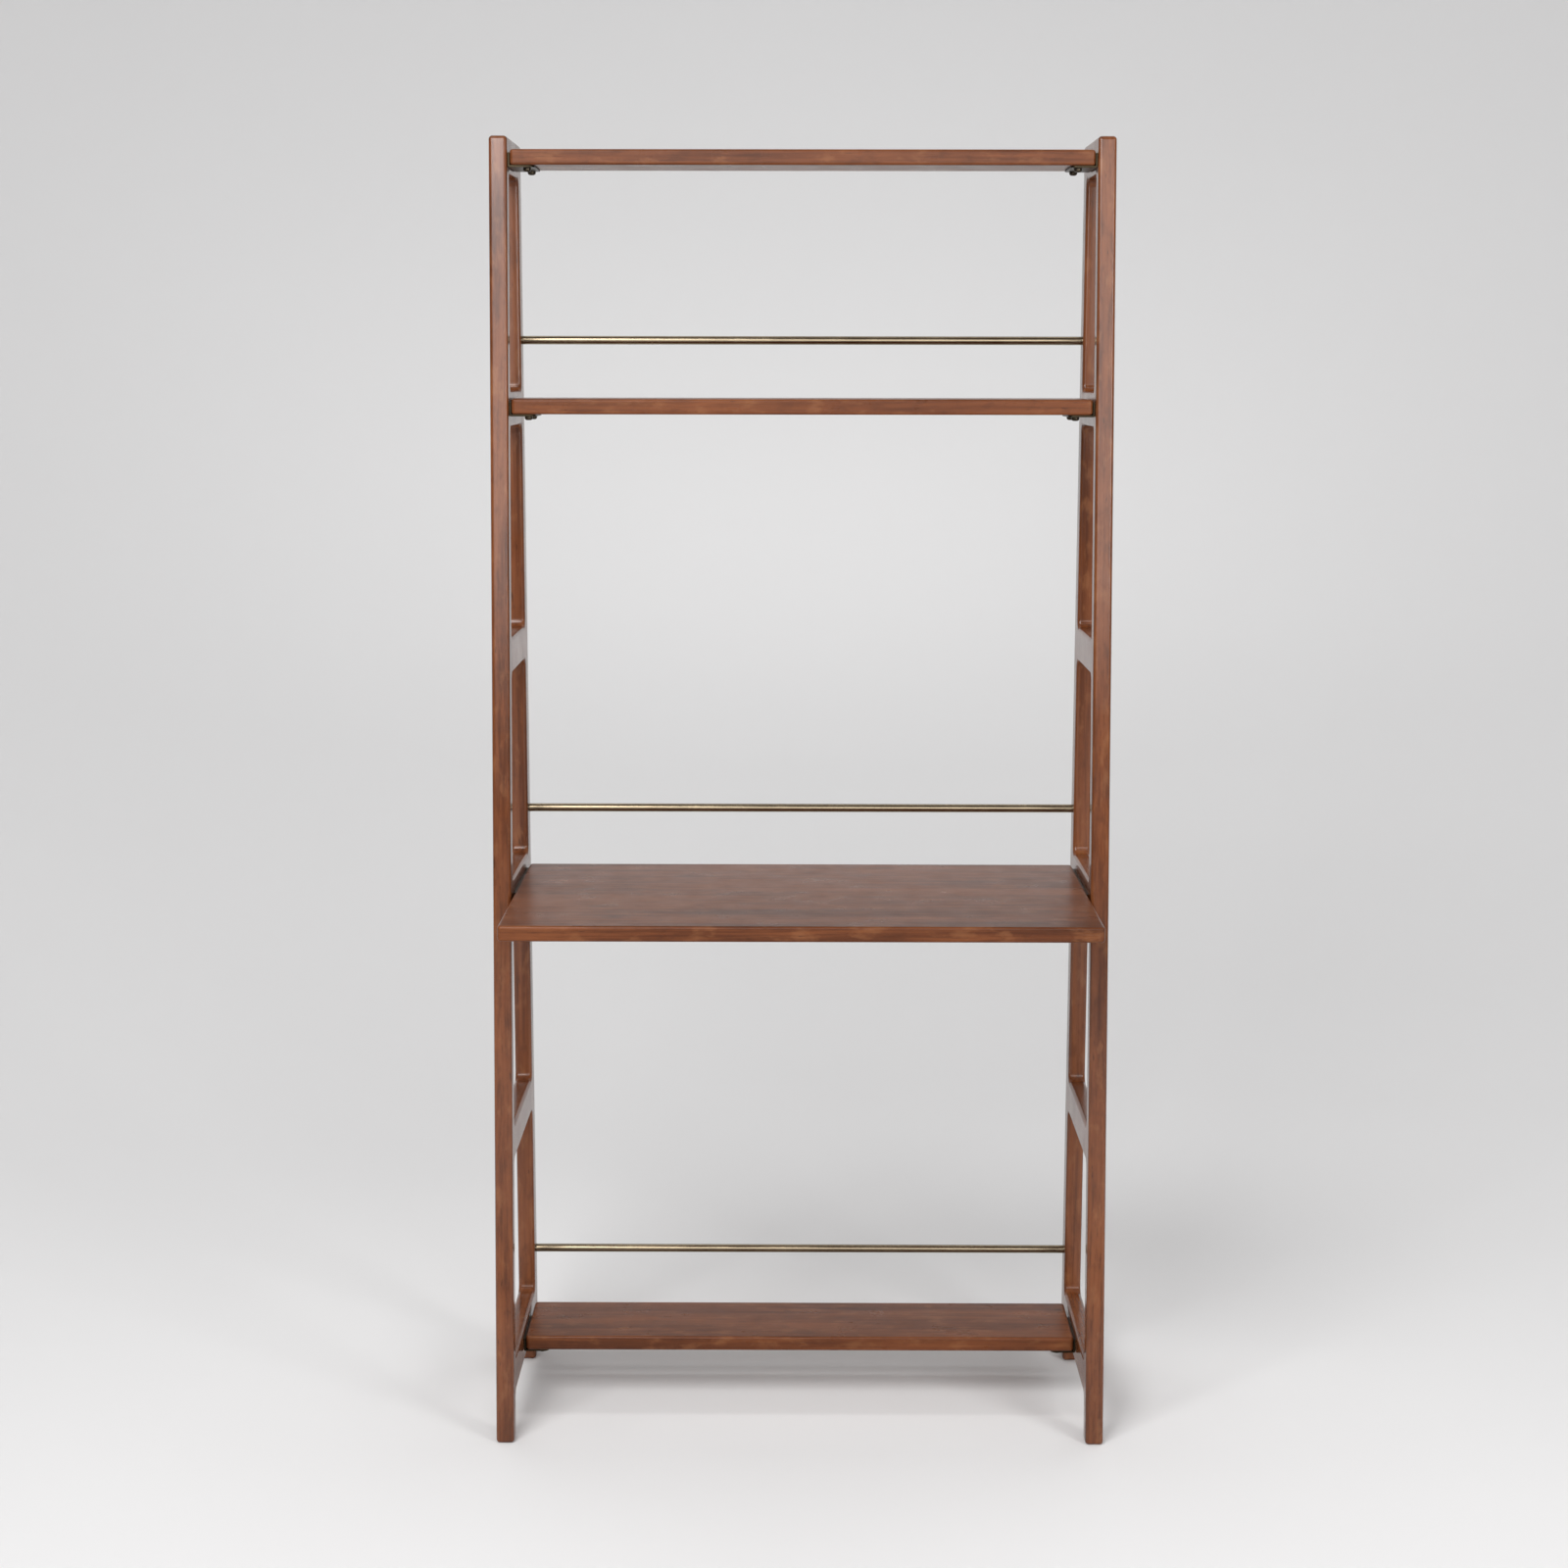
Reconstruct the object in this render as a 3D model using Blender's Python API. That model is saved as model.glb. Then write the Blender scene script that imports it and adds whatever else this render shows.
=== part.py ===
"""Ladder desk: two leaning side frames with rounded windows, a desk board, three shelves, three brass rods.

Metres, +Z up.  X runs along the boards, -Y is the front, and the origin is on the floor under the
middle of the outer box.  Each side frame is a flat panel in the YZ plane: an upright back leg, a front
leg that leans back as it rises, and six rails tenoned between them.  Brass angle brackets under the
board ends carry the boards.
"""
import math

import bmesh
import bpy
from mathutils import Vector

# Overall sizes
WIDTH = 0.850
HEIGHT = 1.798
FLOOR_DEPTH = 0.344          # side frame, front to back, at the floor
TOP_DEPTH = 0.176            # side frame, front to back, at the top
DESK_OVERHANG = 0.127        # desk edge in front of the frames' feet
FIT_GAP = 0.0003             # between pieces that touch

# Side frames
FRAME_THICKNESS = 0.025
FRONT_LEG_DEPTH = 0.028
BACK_LEG_DEPTH = 0.036
RAIL_HEIGHT = 0.048
RAIL_NAMES = ("bottom", "lower", "desk", "middle", "second", "top")
RAIL_CENTRES = (0.0865, 0.4165, 0.761, 1.094, 1.4315, HEIGHT - RAIL_HEIGHT / 2)
WINDOW_RADIUS = 0.011
FOOT_ARCH_RADIUS = 0.010
FRAME_ROUNDING = 0.005
JOINT_STEP = 0.002           # how far the leg-to-rail joint lies inside the windows' ends
TENON_THICKNESS = 0.009
TENON_HEIGHT = 0.030
TENON_LENGTH = 0.014
TENON_ROOT = 0.005           # tenon overlap inside its rail, where the two are joined

# Boards, each named after the rail behind its brackets: height of the upper face, thickness, and the
# front and back edges measured forward from the plane of the frames' backs
SHELF_BACK = 0.065
DESK_BACK = 0.046
BOARD_END_GAP = 0.0035
BOARDS = {
    "top": ("top_shelf", 1.780, 0.021, SHELF_BACK + 0.112, SHELF_BACK),
    "second": ("second_shelf", 1.446, 0.021, SHELF_BACK + 0.140, SHELF_BACK),
    "desk": ("desk_board", 0.770, 0.021, FLOOR_DEPTH + DESK_OVERHANG, DESK_BACK),
    "bottom": ("bottom_shelf", 0.1035, 0.021, SHELF_BACK + 0.140, SHELF_BACK),
}
BOARD_ROUNDING = 0.0035
BOARD_CORNER_RADIUS = 0.005

# Rods
ROD_DIAMETER = 0.012
ROD_SOCKET = 0.012           # how far a rod runs into each back leg
ROD_CHAMFER = 0.0008
ROD_HEIGHTS = {"upper_rod": 1.5265, "middle_rod": 0.8485, "lower_rod": 0.171}

# Brackets: distance behind the board's front edge, width, and screws measured from the bracket's front
SHELF_BRACKET = (0.003, 0.090, {"middle": 0.045})
DESK_BRACKET = (0.233, 0.183, {"front": 0.045, "rear": 0.138})
PLATE = 0.0026
BRACKET_REACH = 0.036
BRACKET_RISE = 0.017         # upright flange, above the board's underside
BRACKET_CORNER_RADIUS = 0.008
BOLT_FROM_FRAME = 0.0255
BOLT_INSET = 0.015           # the two bolts, from the bracket's front and rear edges
BOLT_HEAD_DIAMETER = 0.011
BOLT_HEAD_HEIGHT = 0.005
BOLT_HEAD_CHAMFER = 0.0009
BOLT_DIAMETER = 0.005
BOLT_GRIP = 0.013            # bolt inside the board
SCREW_RISE = 0.008           # screw axis above the board's underside
SCREW_HEAD_DIAMETER = 0.008
SCREW_HEAD_DEPTH = 0.0022
SCREW_DIAMETER = 0.004
SCREW_GRIP = 0.017           # screw inside the rail

# Fineness of the round stretches
ARC_STEPS = 4                # chords in a quarter turn
ROD_SIDES = 24
BOLT_SIDES = 12
SCREW_SIDES = 10

BACK = (FLOOR_DEPTH + DESK_OVERHANG) / 2
FRONT = BACK - FLOOR_DEPTH
LEAN = (FLOOR_DEPTH - TOP_DEPTH) / HEIGHT
INNER_FACE = WIDTH / 2 - FRAME_THICKNESS
BOARD_HALF = INNER_FACE - BOARD_END_GAP
SIDES = {"left": -1, "right": 1}


# ---- geometry helpers ----

def clear_scene():
    for item in list(bpy.data.objects):
        bpy.data.objects.remove(item)


def rounded_outline(corners, radii):
    """The corners in order, each replaced by an arc of its radius (none where the radius is 0)."""
    outline = []
    for index, corner in enumerate(corners):
        corner = Vector(corner)
        radius = radii[index]
        if radius == 0:
            outline.append(corner)
            continue
        before = (Vector(corners[index - 1]) - corner).normalized()
        after = (Vector(corners[(index + 1) % len(corners)]) - corner).normalized()
        half_angle = before.angle(after) / 2
        centre = corner + (before + after).normalized() * radius / math.sin(half_angle)
        start = corner + before * radius / math.tan(half_angle) - centre
        turn = start.angle_signed(corner + after * radius / math.tan(half_angle) - centre)
        steps = max(2, round(ARC_STEPS * abs(turn) / (math.pi / 2)))
        for step in range(steps + 1):
            angle = -turn * step / steps
            outline.append(centre + Vector((start.x * math.cos(angle) - start.y * math.sin(angle),
                                            start.x * math.sin(angle) + start.y * math.cos(angle))))
    return outline


def place(axis, along, flat):
    """A 3-D point from its distance along the extrusion axis and its two flat coordinates."""
    if axis == "x":
        return Vector((along, flat[0], flat[1]))
    if axis == "y":
        return Vector((flat[0], along, flat[1]))
    return Vector((flat[0], flat[1], along))


def add_prism(mesh, axis, outline, low, high):
    """Extrude a flat outline along an axis from low to high, into an open bmesh."""
    corners = [mesh.verts.new(place(axis, low, point)) for point in outline]
    face = mesh.faces.new(corners)
    grown = bmesh.ops.extrude_face_region(mesh, geom=[face])["geom"]
    tops = [item for item in grown if isinstance(item, bmesh.types.BMVert)]
    bmesh.ops.translate(mesh, verts=tops, vec=place(axis, high - low, (0, 0)))


def box_outline(centre, size):
    half = Vector(size) / 2
    signs = ((-1, -1), (1, -1), (1, 1), (-1, 1))
    return [Vector(centre) + Vector((half.x * across, half.y * up)) for across, up in signs]


def add_turned(mesh, axis, centre, start, direction, profile, sides):
    """Spin a profile of (distance along the axis, radius) pairs into a closed round body."""
    chain = [mesh.verts.new(place(axis, start + direction * along, (centre[0] + radius, centre[1])))
             for along, radius in profile]
    edges = [mesh.edges.new(pair) for pair in zip(chain, chain[1:])]
    bmesh.ops.spin(mesh, geom=chain + edges, cent=place(axis, start, centre),
                   axis=place(axis, 1, (0, 0)), angle=2 * math.pi, steps=sides)
    bmesh.ops.remove_doubles(mesh, verts=mesh.verts, dist=0.00001)


def hole_profile(diameter, before, depth):
    """Profile of a cutter for a loose hole: it starts before the face and ends a little below the depth."""
    radius = diameter / 2 + FIT_GAP
    return ((-before, 0), (-before, radius), (depth + FIT_GAP, radius), (depth + FIT_GAP, 0))


def new_object(name, mesh):
    """Close a bmesh into a named object with outward faces."""
    bmesh.ops.recalc_face_normals(mesh, faces=mesh.faces)
    data = bpy.data.meshes.new(name)
    mesh.to_mesh(data)
    mesh.free()
    made = bpy.data.objects.new(name, data)
    bpy.context.scene.collection.objects.link(made)
    return made


def boolean(target, cutter, operation):
    """Stack a Boolean on the target; the cutter only guides it."""
    modifier = target.modifiers.new(cutter.name, "BOOLEAN")
    modifier.operation = operation
    modifier.solver = "EXACT"
    modifier.object = cutter
    cutter.hide_render = True
    cutter.display_type = "WIRE"


def round_edges(target, width, segments):
    modifier = target.modifiers.new("round_edges", "BEVEL")
    modifier.limit_method = "ANGLE"
    modifier.angle_limit = math.radians(35)
    modifier.width = width
    modifier.segments = segments


def finish(target, material, parent=None):
    """Apply the stack, drop its cutters, set the origin at the piece's middle and give it its material."""
    cutters = [item.object for item in target.modifiers if item.type == "BOOLEAN"]
    evaluated = target.evaluated_get(bpy.context.evaluated_depsgraph_get())
    data = bpy.data.meshes.new_from_object(evaluated)
    target.modifiers.clear()
    target.data = data
    data.name = target.name
    for cutter in cutters:
        bpy.data.objects.remove(cutter)
    points = [vertex.co for vertex in data.vertices]
    low = Vector([min(point[i] for point in points) for i in range(3)])
    high = Vector([max(point[i] for point in points) for i in range(3)])
    middle = (low + high) / 2
    for vertex in data.vertices:
        vertex.co -= middle
    target.location = middle
    data.materials.clear()
    data.materials.append(material)
    data.shade_smooth()
    data.set_sharp_from_angle(angle=math.radians(30))
    if parent:
        target.parent = parent


def new_material(name, colour, roughness, metallic):
    made = bpy.data.materials.new(name)
    made.use_nodes = True
    shader = made.node_tree.nodes["Principled BSDF"]
    shader.inputs["Base Color"].default_value = (*colour, 1)
    shader.inputs["Roughness"].default_value = roughness
    shader.inputs["Metallic"].default_value = metallic
    return made


def group(name):
    """An empty that holds the pieces of one assembly."""
    made = bpy.data.objects.new(name, None)
    bpy.context.scene.collection.objects.link(made)
    return made


# ---- places worked out from the sizes ----

def leg_front(height):
    """Y of the front legs' front face at a height."""
    return FRONT + LEAN * height


def front_joint(height):
    return leg_front(height) + FRONT_LEG_DEPTH + JOINT_STEP


def back_joint():
    return BACK - BACK_LEG_DEPTH - JOINT_STEP


def board_front(owner):
    return BACK - BOARDS[owner][3]


def board_underside(owner):
    return BOARDS[owner][1] - BOARDS[owner][2]


def bracket_plan(owner):
    return DESK_BRACKET if owner == "desk" else SHELF_BRACKET


def bracket_span(owner):
    """Y of the front and rear edges of a board's brackets."""
    inset, width, _ = bracket_plan(owner)
    return board_front(owner) + inset, board_front(owner) + inset + width


def bolt_centres(owner, side):
    """(x, y) of the front and rear bolts of one bracket."""
    front, rear = bracket_span(owner)
    reach = side * (INNER_FACE - BOLT_FROM_FRAME)
    return {"front": (reach, front + BOLT_INSET), "rear": (reach, rear - BOLT_INSET)}


def screw_centres(owner):
    """(y, z) of the screws that run from one bracket into its rail."""
    front = bracket_span(owner)[0]
    height = board_underside(owner) + SCREW_RISE
    return {place_name: (front + inset, height) for place_name, inset in bracket_plan(owner)[2].items()}


# ---- side frames ----

def frame_panel():
    """One whole side frame with its five windows, flat on x = 0, before it is parted into its pieces."""
    inner_back = BACK - BACK_LEG_DEPTH
    arch_top = RAIL_CENTRES[0] - RAIL_HEIGHT / 2
    corners = [(leg_front(0), 0), (leg_front(0) + FRONT_LEG_DEPTH, 0),
               (leg_front(arch_top) + FRONT_LEG_DEPTH, arch_top), (inner_back, arch_top),
               (inner_back, 0), (BACK, 0), (BACK, HEIGHT), (leg_front(HEIGHT), HEIGHT)]
    radii = (0, 0, FOOT_ARCH_RADIUS, FOOT_ARCH_RADIUS, 0, 0, 0, 0)
    body = bmesh.new()
    add_prism(body, "x", rounded_outline(corners, radii), 0, FRAME_THICKNESS)
    panel = new_object("frame_panel", body)

    windows = bmesh.new()
    for below, above in zip(RAIL_CENTRES, RAIL_CENTRES[1:]):
        low = below + RAIL_HEIGHT / 2
        high = above - RAIL_HEIGHT / 2
        opening = [(leg_front(low) + FRONT_LEG_DEPTH, low), (inner_back, low),
                   (inner_back, high), (leg_front(high) + FRONT_LEG_DEPTH, high)]
        outline = rounded_outline(opening, (WINDOW_RADIUS,) * 4)
        add_prism(windows, "x", outline, -FRAME_THICKNESS, 2 * FRAME_THICKNESS)
    boolean(panel, new_object("windows", windows), "DIFFERENCE")
    round_edges(panel, FRAME_ROUNDING, 2)
    return panel


def frame_piece(name, side, panel_mesh, zone):
    """A copy of the panel on its side of the object, kept only inside a flat zone (y, z)."""
    data = panel_mesh.copy()
    shift = -WIDTH / 2 if side < 0 else INNER_FACE
    for vertex in data.vertices:
        vertex.co.x += shift
    piece = bpy.data.objects.new(name, data)
    bpy.context.scene.collection.objects.link(piece)
    keep = bmesh.new()
    add_prism(keep, "x", zone, -WIDTH, WIDTH)
    boolean(piece, new_object(name + "_zone", keep), "INTERSECT")
    return piece


def tenon_boxes(rail_index, gap):
    """(middle y, length) of a rail's front and back tenons, grown by a gap for their mortises."""
    height = RAIL_CENTRES[rail_index]
    length = TENON_ROOT + TENON_LENGTH + gap
    front_middle = front_joint(height) + TENON_ROOT - length / 2
    back_middle = back_joint() - TENON_ROOT + length / 2
    return ((front_middle, length), (back_middle, length))


def add_tenon(mesh, side, rail_index, end, gap):
    middle, length = tenon_boxes(rail_index, gap)[end]
    outline = box_outline((middle, RAIL_CENTRES[rail_index]), (length, TENON_HEIGHT + 2 * gap))
    centre = side * (WIDTH / 2 - FRAME_THICKNESS / 2)
    half = TENON_THICKNESS / 2 + gap
    add_prism(mesh, "x", outline, centre - half, centre + half)


def leg(name, side, panel_mesh, end, material, parent):
    """A front (end 0) or back (end 1) leg with its six mortises, and rod sockets in a back leg."""
    low = -FRAME_THICKNESS
    high = HEIGHT + FRAME_THICKNESS
    if end == 0:
        zone = [(leg_front(low) - FRAME_THICKNESS, low), (front_joint(low) - FIT_GAP / 2, low),
                (front_joint(high) - FIT_GAP / 2, high), (leg_front(high) - FRAME_THICKNESS, high)]
    else:
        zone = [(back_joint() + FIT_GAP / 2, low), (BACK + FRAME_THICKNESS, low),
                (BACK + FRAME_THICKNESS, high), (back_joint() + FIT_GAP / 2, high)]
    piece = frame_piece(name, side, panel_mesh, zone)
    mortises = bmesh.new()
    for rail_index in range(len(RAIL_CENTRES)):
        add_tenon(mortises, side, rail_index, end, FIT_GAP)
    boolean(piece, new_object(name + "_mortises", mortises), "DIFFERENCE")
    if end == 1:
        sockets = bmesh.new()
        profile = hole_profile(ROD_DIAMETER, ROD_SOCKET, ROD_SOCKET)
        for height in ROD_HEIGHTS.values():
            add_turned(sockets, "x", (BACK - BACK_LEG_DEPTH / 2, height), side * INNER_FACE, side,
                       profile, ROD_SIDES)
        boolean(piece, new_object(name + "_sockets", sockets), "DIFFERENCE")
    finish(piece, material, parent)


def rail(name, side, panel_mesh, rail_index, material, parent):
    """A rail with flared ends, a tenon at each, and pilot holes where a bracket is screwed to it."""
    reach = RAIL_HEIGHT / 2 + WINDOW_RADIUS + FRAME_ROUNDING
    low = RAIL_CENTRES[rail_index] - reach
    high = RAIL_CENTRES[rail_index] + reach
    zone = [(front_joint(low) + FIT_GAP / 2, low), (back_joint() - FIT_GAP / 2, low),
            (back_joint() - FIT_GAP / 2, high), (front_joint(high) + FIT_GAP / 2, high)]
    piece = frame_piece(name, side, panel_mesh, zone)
    tenons = bmesh.new()
    add_tenon(tenons, side, rail_index, 0, 0)
    add_tenon(tenons, side, rail_index, 1, 0)
    boolean(piece, new_object(name + "_tenons", tenons), "UNION")
    owner = RAIL_NAMES[rail_index]
    if owner in BOARDS:
        holes = bmesh.new()
        profile = hole_profile(SCREW_DIAMETER, PLATE, SCREW_GRIP)
        for centre in screw_centres(owner).values():
            add_turned(holes, "x", centre, side * INNER_FACE, side, profile, SCREW_SIDES)
        boolean(piece, new_object(name + "_pilot_holes", holes), "DIFFERENCE")
    finish(piece, material, parent)


def side_frames(material):
    panel = frame_panel()
    evaluated = panel.evaluated_get(bpy.context.evaluated_depsgraph_get())
    finished_panel = bpy.data.meshes.new_from_object(evaluated)
    bpy.data.objects.remove(bpy.data.objects["windows"])
    bpy.data.objects.remove(panel)
    for side_name, side in SIDES.items():
        parent = group("side_frame_" + side_name)
        leg("front_leg_" + side_name, side, finished_panel, 0, material, parent)
        leg("back_leg_" + side_name, side, finished_panel, 1, material, parent)
        for rail_index, rail_name in enumerate(RAIL_NAMES):
            rail(rail_name + "_rail_" + side_name, side, finished_panel, rail_index, material, parent)


# ---- boards ----

def board(owner, material):
    name, top, thickness, front, back = BOARDS[owner]
    corners = [(-BOARD_HALF, BACK - front), (BOARD_HALF, BACK - front),
               (BOARD_HALF, BACK - back), (-BOARD_HALF, BACK - back)]
    body = bmesh.new()
    add_prism(body, "z", rounded_outline(corners, (BOARD_CORNER_RADIUS,) * 4), top - thickness, top)
    piece = new_object(name, body)
    round_edges(piece, BOARD_ROUNDING, 2)
    holes = bmesh.new()
    profile = hole_profile(BOLT_DIAMETER, BOLT_GRIP, BOLT_GRIP)
    for side in SIDES.values():
        for centre in bolt_centres(owner, side).values():
            add_turned(holes, "z", centre, top - thickness, 1, profile, SCREW_SIDES)
    boolean(piece, new_object(name + "_bolt_holes", holes), "DIFFERENCE")
    finish(piece, material)


# ---- rods ----

def rod(name, material):
    half = INNER_FACE + ROD_SOCKET
    radius = ROD_DIAMETER / 2
    profile = ((-half, 0), (-half, radius - ROD_CHAMFER), (-half + ROD_CHAMFER, radius),
               (half - ROD_CHAMFER, radius), (half, radius - ROD_CHAMFER), (half, 0))
    body = bmesh.new()
    add_turned(body, "x", (BACK - BACK_LEG_DEPTH / 2, ROD_HEIGHTS[name]), 0, 1, profile, ROD_SIDES)
    finish(new_object(name, body), material)


# ---- brackets and fasteners ----

def bracket(name, side, owner, material):
    """An angle plate: one flange in the gap at the board's end and one under the board."""
    front, rear = bracket_span(owner)
    outer = INNER_FACE - FIT_GAP
    under = board_underside(owner) - FIT_GAP
    tip = side * (outer - BRACKET_REACH)
    angle = [(side * outer, under - PLATE), (tip, under - PLATE), (tip, under),
             (side * (outer - PLATE), under), (side * (outer - PLATE), under + BRACKET_RISE),
             (side * outer, under + BRACKET_RISE)]
    body = bmesh.new()
    add_prism(body, "y", angle, front, rear)
    tip_edges = [edge for edge in body.edges
                 if all(abs(vertex.co.x - tip) < FIT_GAP for vertex in edge.verts)
                 and abs(edge.verts[0].co.z - edge.verts[1].co.z) > PLATE / 2]
    bmesh.ops.bevel(body, geom=tip_edges, offset=BRACKET_CORNER_RADIUS, segments=ARC_STEPS, profile=0.5,
                    affect="EDGES")
    piece = new_object(name, body)

    holes = bmesh.new()
    bolt_hole = hole_profile(BOLT_DIAMETER, PLATE, 2 * PLATE)
    for centre in bolt_centres(owner, side).values():
        add_turned(holes, "z", centre, under - PLATE, 1, bolt_hole, SCREW_SIDES)
    shank = SCREW_DIAMETER / 2 + FIT_GAP
    head = SCREW_HEAD_DIAMETER / 2 + FIT_GAP
    countersink = ((-PLATE, 0), (-PLATE, head), (0, head), (SCREW_HEAD_DEPTH, shank),
                   (2 * PLATE, shank), (2 * PLATE, 0))
    for centre in screw_centres(owner).values():
        add_turned(holes, "x", centre, side * (outer - PLATE), side, countersink, SCREW_SIDES)
    boolean(piece, new_object(name + "_holes", holes), "DIFFERENCE")
    finish(piece, material)


def board_bolt(name, centre, owner, material):
    """A pan-head bolt up through a bracket into its board."""
    head = BOLT_HEAD_DIAMETER / 2
    shank = BOLT_DIAMETER / 2
    tip = BOLT_HEAD_HEIGHT + 2 * FIT_GAP + PLATE + BOLT_GRIP
    profile = ((0, 0), (0, head - BOLT_HEAD_CHAMFER), (BOLT_HEAD_CHAMFER, head), (BOLT_HEAD_HEIGHT, head),
               (BOLT_HEAD_HEIGHT, shank), (tip, shank), (tip, 0))
    lowest = board_underside(owner) - 2 * FIT_GAP - PLATE - BOLT_HEAD_HEIGHT
    body = bmesh.new()
    add_turned(body, "z", centre, lowest, 1, profile, BOLT_SIDES)
    finish(new_object(name, body), material)


def rail_screw(name, side, centre, material):
    """A countersunk screw from a bracket's upright flange into the rail."""
    tip = PLATE + FIT_GAP + SCREW_GRIP
    profile = ((0, 0), (0, SCREW_HEAD_DIAMETER / 2), (SCREW_HEAD_DEPTH, SCREW_DIAMETER / 2),
               (tip - SCREW_DIAMETER, SCREW_DIAMETER / 2), (tip, 0))
    body = bmesh.new()
    start = side * (INNER_FACE - FIT_GAP - PLATE)
    add_turned(body, "x", centre, start, side, profile, SCREW_SIDES)
    finish(new_object(name, body), material)


def brackets(bracket_material, fastener_material):
    """Each board's brackets with their bolts and screws, named board_piece_place_side."""
    for side_name, side in SIDES.items():
        for owner in BOARDS:
            bracket(owner + "_bracket_" + side_name, side, owner, bracket_material)
            for place_name, centre in bolt_centres(owner, side).items():
                name = "_".join((owner, "bolt", place_name, side_name))
                board_bolt(name, centre, owner, fastener_material)
            for place_name, centre in screw_centres(owner).items():
                name = "_".join((owner, "screw", place_name, side_name))
                rail_screw(name, side, centre, fastener_material)


def build():
    clear_scene()
    frame_wood = new_material("frame_wood", (0.265, 0.105, 0.052), 0.32, 0)
    board_wood = new_material("board_wood", (0.225, 0.095, 0.052), 0.30, 0)
    rod_brass = new_material("rod_brass", (0.46, 0.34, 0.19), 0.28, 1)
    bracket_brass = new_material("bracket_brass", (0.42, 0.31, 0.15), 0.35, 1)
    fastener_bronze = new_material("fastener_bronze", (0.10, 0.075, 0.05), 0.40, 1)
    side_frames(frame_wood)
    for owner in BOARDS:
        board(owner, board_wood)
    for name in ROD_HEIGHTS:
        rod(name, rod_brass)
    brackets(bracket_brass, fastener_bronze)


build()
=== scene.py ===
"""Looks of the ladder desk: lacquered wood frames and boards, antique brass rods and brackets, studio."""
import math

import bmesh
import bpy
from mathutils import Matrix, Vector


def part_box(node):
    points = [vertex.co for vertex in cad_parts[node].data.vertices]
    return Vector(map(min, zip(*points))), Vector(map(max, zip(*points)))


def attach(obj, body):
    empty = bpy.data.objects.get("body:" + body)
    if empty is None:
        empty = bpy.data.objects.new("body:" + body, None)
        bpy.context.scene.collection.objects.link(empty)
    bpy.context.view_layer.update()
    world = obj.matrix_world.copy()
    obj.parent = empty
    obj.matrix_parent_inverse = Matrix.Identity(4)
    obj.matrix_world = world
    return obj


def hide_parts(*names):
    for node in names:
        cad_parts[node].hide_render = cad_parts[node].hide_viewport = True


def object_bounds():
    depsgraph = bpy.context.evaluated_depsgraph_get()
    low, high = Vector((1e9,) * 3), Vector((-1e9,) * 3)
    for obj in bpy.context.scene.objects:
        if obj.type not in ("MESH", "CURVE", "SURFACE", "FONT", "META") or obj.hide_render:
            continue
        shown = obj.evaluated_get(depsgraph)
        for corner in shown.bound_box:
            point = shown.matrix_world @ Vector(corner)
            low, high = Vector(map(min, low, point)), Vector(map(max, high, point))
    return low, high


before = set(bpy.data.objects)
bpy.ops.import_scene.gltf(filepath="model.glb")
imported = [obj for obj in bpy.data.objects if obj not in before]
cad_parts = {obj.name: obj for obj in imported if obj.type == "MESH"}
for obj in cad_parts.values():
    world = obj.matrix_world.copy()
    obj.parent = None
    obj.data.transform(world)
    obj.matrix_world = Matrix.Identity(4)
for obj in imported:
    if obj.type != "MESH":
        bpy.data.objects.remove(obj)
CAD_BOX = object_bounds()

# ---- names and driving sizes, in metres; places come from the frame ----

SIDES = {"left": -1, "right": 1}
RAILS = ("bottom", "lower", "desk", "middle", "second", "top")
BOARDS = {"top": "top_shelf", "second": "second_shelf", "desk": "desk_board", "bottom": "bottom_shelf"}
RODS = ("upper_rod", "middle_rod", "lower_rod")
SCREW_PLACES = {"top": ("middle",), "second": ("middle",), "desk": ("front", "rear"), "bottom": ("middle",)}
BOLT_PLACES = ("front", "rear")

FIT_GAP = 0.0003
FRONT_LEG_DEPTH = 0.028
BACK_LEG_DEPTH = 0.036
RAIL_HEIGHT = 0.048
TOP_DEPTH = 0.176
WINDOW_RADIUS = 0.011
FOOT_ARCH_RADIUS = 0.010
FRAME_ROUNDING = 0.005
JOINT_STEP = 0.002
BOARD_ROUNDING = 0.0035
BOARD_CORNER_RADIUS = 0.005
ROD_CHAMFER = 0.0008
PLATE = 0.0026
PLATE_BEND = 0.0022
PLATE_ROUNDING = 0.0003
BRACKET_CORNER_RADIUS = 0.008
BOLT_HEAD_HEIGHT = 0.005
BOLT_SHANK_RADIUS = 0.0025
HEX_RADIUS = 0.0031
HEX_DEPTH = 0.0022

QUARTER_STEPS = 10           # chords in a quarter turn of a window's corner
ROUNDING_STEPS = 5
ROD_SIDES = 64
BOLT_SIDES = 48

HIGH = CAD_BOX[1]
HEIGHT = HIGH.z
BACK = HIGH.y
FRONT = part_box("front_leg_left")[0].y
LEAN = (BACK - TOP_DEPTH - FRONT) / HEIGHT
INNER_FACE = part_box("front_leg_right")[0].x
FRAME_THICKNESS = HIGH.x - INNER_FACE


def centre_of(node):
    """Middle of a node's box."""
    low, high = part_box(node)
    return (low + high) / 2


RAIL_CENTRES = (0.0865, 0.4165, 0.761, 1.094, 1.4315, HEIGHT - RAIL_HEIGHT / 2)


# ---- mesh helpers ----

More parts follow.
